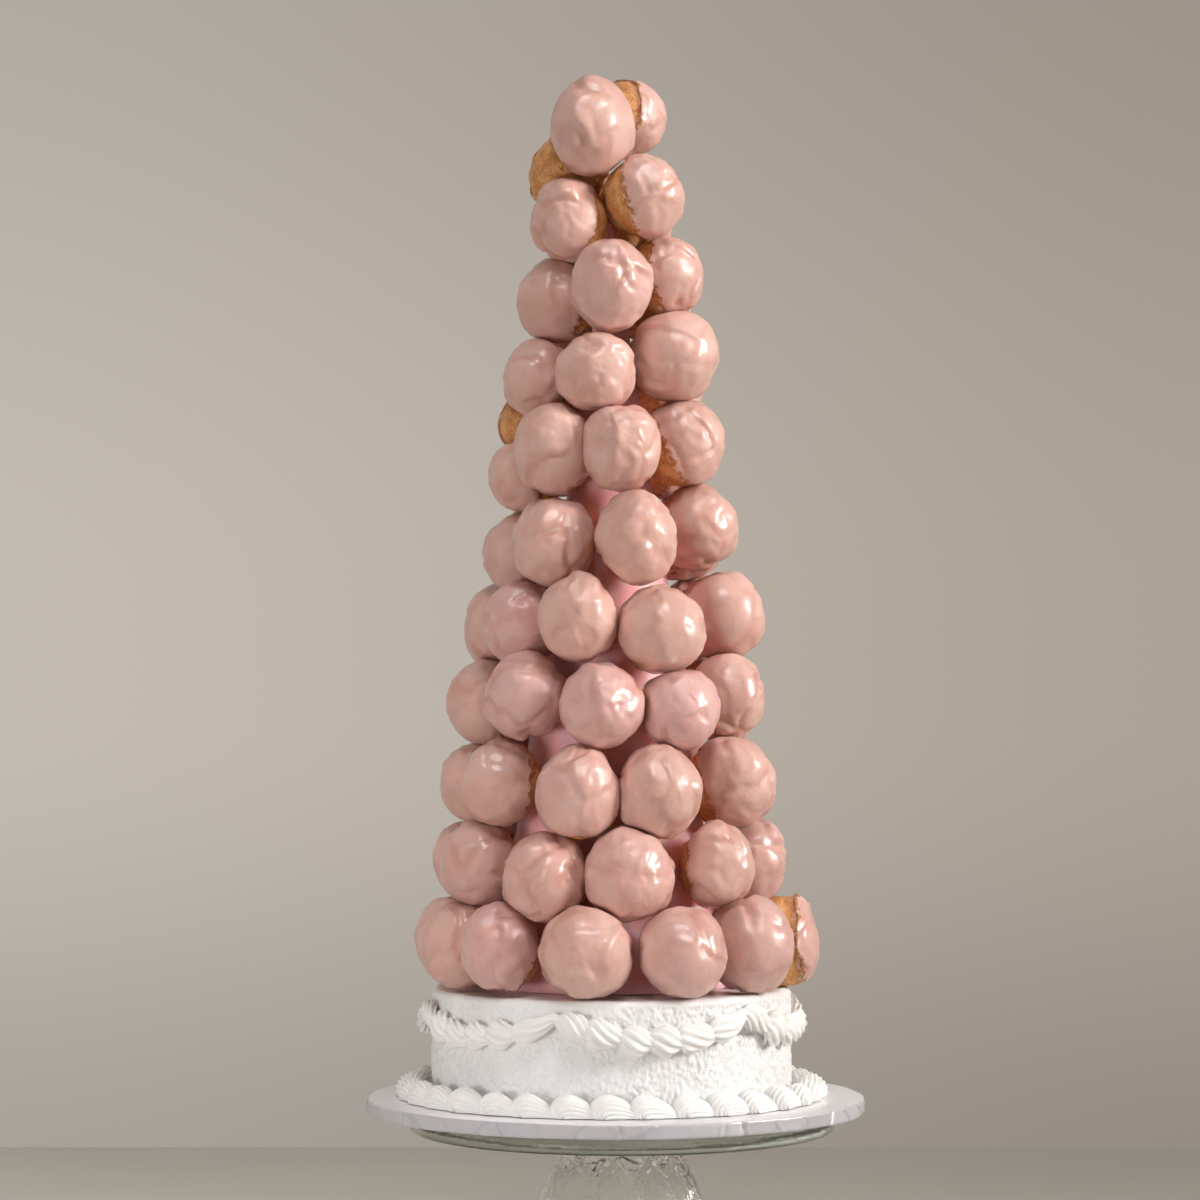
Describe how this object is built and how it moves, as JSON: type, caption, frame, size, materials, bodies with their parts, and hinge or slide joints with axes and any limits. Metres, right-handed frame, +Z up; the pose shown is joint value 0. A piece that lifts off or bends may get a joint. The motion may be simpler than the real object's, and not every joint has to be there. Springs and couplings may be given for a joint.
{
  "type": "croquembouche",
  "caption": "Tall cone of cream puffs dipped in pale pink glaze, on a round white iced cake with piped trim, a foil cake board and a cut-glass pedestal stand.",
  "frame": {"origin": "centre of the cake board in plan, level with the foot of the glass stand", "axes": "+Z up the tower; the pictured front faces -Y and its right is +X"},
  "size_m": [0.3048, 0.3048, 0.7751],
  "materials": {
    "glaze": "satin pale pink chocolate glaze over baked choux",
    "pastry": "golden-brown baked choux, cracked and matt",
    "icing": "white buttercream, stippled and matt",
    "piping": "white buttercream, piped and soft satin",
    "foil": "white embossed foil paper with pleated edge, satin",
    "cone_cover": "smooth pale pink icing over the cone",
    "glass": "clear pressed glass with a faint green tint"
  },
  "bodies": {
    "root": {"cake": "icing", "cake_board": "foil", "cone": "cone_cover", "garland": "piping", "glass_pedestal": "glass", "glass_plate": "glass", "puff_01_1": "glaze", "puff_01_2": "glaze", "puff_01_3": "glaze", "puff_01_4": "glaze", "puff_01_5": "glaze", "puff_01_6": "glaze", "puff_01_7": "glaze", "puff_02_1": "glaze", "puff_02_2": "glaze", "puff_02_3": "glaze", "puff_02_4": "glaze", "puff_02_5": "glaze", "puff_02_6": "glaze", "puff_03_1": "glaze", "puff_03_2": "glaze", "puff_03_3": "glaze", "puff_03_4": "glaze", "puff_03_5": "glaze", "puff_04_1": "glaze", "puff_04_2": "glaze", "puff_04_3": "glaze", "puff_04_4": "glaze", "puff_04_5": "glaze", "puff_05_1": "glaze", "puff_05_2": "glaze", "puff_05_3": "glaze", "puff_05_4": "glaze", "puff_05_5": "glaze", "puff_06_1": "glaze", "puff_06_2": "glaze", "puff_06_3": "glaze", "puff_06_4": "glaze", "puff_07_1": "glaze", "puff_07_2": "glaze", "puff_07_3": "glaze", "puff_07_4": "glaze", "puff_07_5": "glaze", "puff_08_1": "glaze", "puff_08_2": "glaze", "puff_08_3": "glaze", "puff_09_1": "glaze", "puff_09_2": "glaze", "puff_09_3": "glaze", "puff_10_1": "glaze", "puff_10_2": "glaze", "puff_10_3": "glaze", "puff_11_1": "glaze", "puff_11_2": "glaze", "puffs_behind_01_02": "glaze", "puffs_behind_03_04": "glaze", "puffs_behind_05_06": "glaze", "puffs_behind_07_08": "glaze", "puffs_behind_09_10": "glaze", "shell_border": "piping"}
  },
  "joints": []
}
